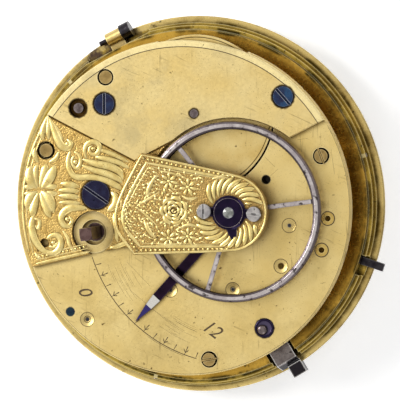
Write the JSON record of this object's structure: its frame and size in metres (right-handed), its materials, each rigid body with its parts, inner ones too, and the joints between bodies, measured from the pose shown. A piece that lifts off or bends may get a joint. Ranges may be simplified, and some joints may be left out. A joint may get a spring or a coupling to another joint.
{
  "type": "pocket watch movement",
  "caption": "Full-plate key-wound pocket watch movement with fusee and chain, lever escapement, engraved balance cock, blued regulator index, enamel dial and hands.",
  "frame": {"origin": "middle of the movement on the face of the brass edge where the dial seats", "axes": "+Z points from the dial side to the back with the balance cock, +Y points to 12 o'clock"},
  "size_m": [0.046, 0.0482, 0.0177],
  "materials": {
    "gilt_plate": "gilt and worn to a soft shine",
    "gilt_edge": "polished brass",
    "brass_wheel": "brass, lightly grained",
    "brass_pin": "brass, turned",
    "balance_steel": "grey steel, slightly pitted",
    "steel": "polished steel",
    "blued_steel": "heat-blued and polished",
    "dark_steel": "dark, with polished edges",
    "spring_steel": "tempered spring steel",
    "endstone": "polished stone",
    "enamel": "white enamel fired on copper",
    "hand_metal": "heat-blued and polished"
  },
  "bodies": {
    "frame": {"brass_edge": "gilt_edge", "pillar_plate": "gilt_plate", "pillars": "gilt_plate", "pillar_pins": "brass_pin", "top_plate": "gilt_plate", "name_plate": "gilt_plate", "name_plate_screws": "blued_steel", "balance_cock": "gilt_plate", "cock_screw": "blued_steel", "cap_setting": "blued_steel", "endstone": "endstone", "cap_screws": "steel", "plate_plugs": "brass_pin", "blued_screw": "blued_steel", "fusee_bush": "brass_pin", "steel_pins": "steel", "joint_knuckle": "gilt_edge", "joint_pin": "dark_steel", "dial_side_screws": "steel", "barrel_arbor": "steel", "set_up_ratchet": "steel", "fusee_chain": "spring_steel", "detent_spring": "blued_steel", "banking_pins": "brass_pin", "hairspring": "blued_steel", "hairspring_stud": "steel", "potence": "gilt_plate", "potence_screw": "steel", "dial": "enamel"},
    "barrel": {"barrel_drum": "brass_wheel", "barrel_lid": "brass_wheel", "mainspring": "spring_steel"},
    "click": {"set_up_click": "steel"},
    "great": {"great_wheel": "brass_wheel", "maintaining_ratchet": "steel"},
    "fusee": {"fusee_cone": "brass_wheel", "fusee_arbor": "steel"},
    "stop_iron": {"stop_iron": "steel"},
    "detent": {"maintaining_detent": "steel"},
    "centre": {"centre_wheel": "brass_wheel", "centre_arbor": "steel", "cannon_pinion": "steel", "minute_hand": "hand_metal"},
    "minute": {"minute_wheel": "brass_wheel"},
    "hour": {"hour_wheel": "brass_wheel", "hour_hand": "hand_metal"},
    "third": {"third_wheel": "brass_wheel", "third_arbor": "steel"},
    "fourth": {"fourth_wheel": "brass_wheel", "fourth_arbor": "steel", "seconds_hand": "hand_metal"},
    "escape": {"escape_wheel": "brass_wheel"},
    "lever": {"lever": "steel"},
    "balance": {"balance_wheel": "balance_steel", "balance_staff": "steel", "roller": "steel"},
    "index": {"index": "blued_steel"},
    "bolt": {"bolt": "dark_steel"},
    "bolt_spring": {"bolt_spring": "spring_steel"},
    "stop_lever": {"stop_lever": "dark_steel"}
  },
  "joints": [
    {"name": "fourth_wheel_spin", "type": "hinge", "parent": "frame", "child": "fourth", "pos_m": [0.00061, -0.01142, 0.005], "axis": [0, 0, 1], "continuous": true},
    {"name": "third_wheel_spin", "type": "hinge", "parent": "frame", "child": "third", "pos_m": [-0.00628, -0.00798, 0.005], "axis": [0, 0, 1], "continuous": true},
    {"name": "centre_wheel_spin", "type": "hinge", "parent": "frame", "child": "centre", "pos_m": [0, 0, 0.005], "axis": [0, 0, 1], "continuous": true},
    {"name": "great_wheel_spin", "type": "hinge", "parent": "frame", "child": "great", "pos_m": [-0.01134, 0.00252, 0.005], "axis": [0, 0, 1], "continuous": true},
    {"name": "escape_wheel_spin", "type": "hinge", "parent": "frame", "child": "escape", "pos_m": [0.00718, -0.01163, 0.005], "axis": [0, 0, 1], "continuous": true},
    {"name": "minute_wheel_spin", "type": "hinge", "parent": "frame", "child": "minute", "pos_m": [0.00473, -0.00083, 0.001], "axis": [0, 0, 1], "continuous": true},
    {"name": "hour_wheel_spin", "type": "hinge", "parent": "frame", "child": "hour", "pos_m": [0, 0, 0.0005], "axis": [0, 0, 1], "continuous": true},
    {"name": "fusee_wind", "type": "hinge", "parent": "great", "child": "fusee", "pos_m": [-0.01134, 0.00252, 0.005], "axis": [0, 0, 1], "range_deg": [-1080, 1548]},
    {"name": "barrel_turn", "type": "hinge", "parent": "frame", "child": "barrel", "pos_m": [0.0065, 0.00946, 0.006], "axis": [0, 0, 1], "range_deg": [-510, 730]},
    {"name": "lever_rock", "type": "hinge", "parent": "frame", "child": "lever", "pos_m": [0.01036, -0.00778, 0.0064], "axis": [0, 0, 1], "range_deg": [-5, 5]},
    {"name": "balance_swing", "type": "hinge", "parent": "frame", "child": "balance", "pos_m": [0.00522, -0.00317, 0.0108], "axis": [0, 0, 1], "range_deg": [-135, 135], "stiffness_Nm_per_rad": 0.0000065},
    {"name": "index_turn", "type": "hinge", "parent": "frame", "child": "index", "pos_m": [0.00522, -0.00317, 0.0093], "axis": [0, 0, 1], "range_deg": [-20, 20]},
    {"name": "click_turn", "type": "hinge", "parent": "frame", "child": "click", "pos_m": [0.01067, 0.00752, 0.0015], "axis": [0, 0, 1], "range_deg": [0, 10]},
    {"name": "detent_lift", "type": "hinge", "parent": "frame", "child": "detent", "pos_m": [-0.01712, -0.00642, 0.0042], "axis": [0, 0, 1], "range_deg": [0, 8], "stiffness_Nm_per_rad": 0.00001},
    {"name": "stop_iron_lift", "type": "hinge", "parent": "frame", "child": "stop_iron", "pos_m": [-0.00754, 0.0091, 0.0076], "axis": [-0.866, 0.5, 0], "range_deg": [0, 6], "stiffness_Nm_per_rad": 0.00001},
    {"name": "bolt_slide", "type": "slide", "parent": "frame", "child": "bolt", "axis": [-0.0523, 0.9986, 0], "range_m": [0, 0.001], "stiffness_N_per_m": 300, "springref_m": -0.0005},
    {"name": "bolt_spring_bend", "type": "hinge", "parent": "frame", "child": "bolt_spring", "pos_m": [-0.01124, -0.01049, 0.0015], "axis": [0, 0, 1], "range_deg": [0, 6]},
    {"name": "stop_lever_turn", "type": "hinge", "parent": "frame", "child": "stop_lever", "pos_m": [0.01056, -0.01093, 0.0012], "axis": [0, 0, 1], "range_deg": [-6, 0]}
  ],
  "couplings": [
    {"joint": "escape_wheel_spin", "follows": "fourth_wheel_spin", "ratio": -8},
    {"joint": "third_wheel_spin", "follows": "fourth_wheel_spin", "ratio": -0.13333},
    {"joint": "centre_wheel_spin", "follows": "fourth_wheel_spin", "ratio": 0.016667},
    {"joint": "great_wheel_spin", "follows": "fourth_wheel_spin", "ratio": -0.0041667},
    {"joint": "minute_wheel_spin", "follows": "fourth_wheel_spin", "ratio": -0.0055556},
    {"joint": "hour_wheel_spin", "follows": "fourth_wheel_spin", "ratio": 0.0013889},
    {"joint": "barrel_turn", "follows": "fusee_wind", "ratio": 0.47},
    {"joint": "bolt_spring_bend", "follows": "bolt_slide", "rad_per_m": 100}
  ]
}
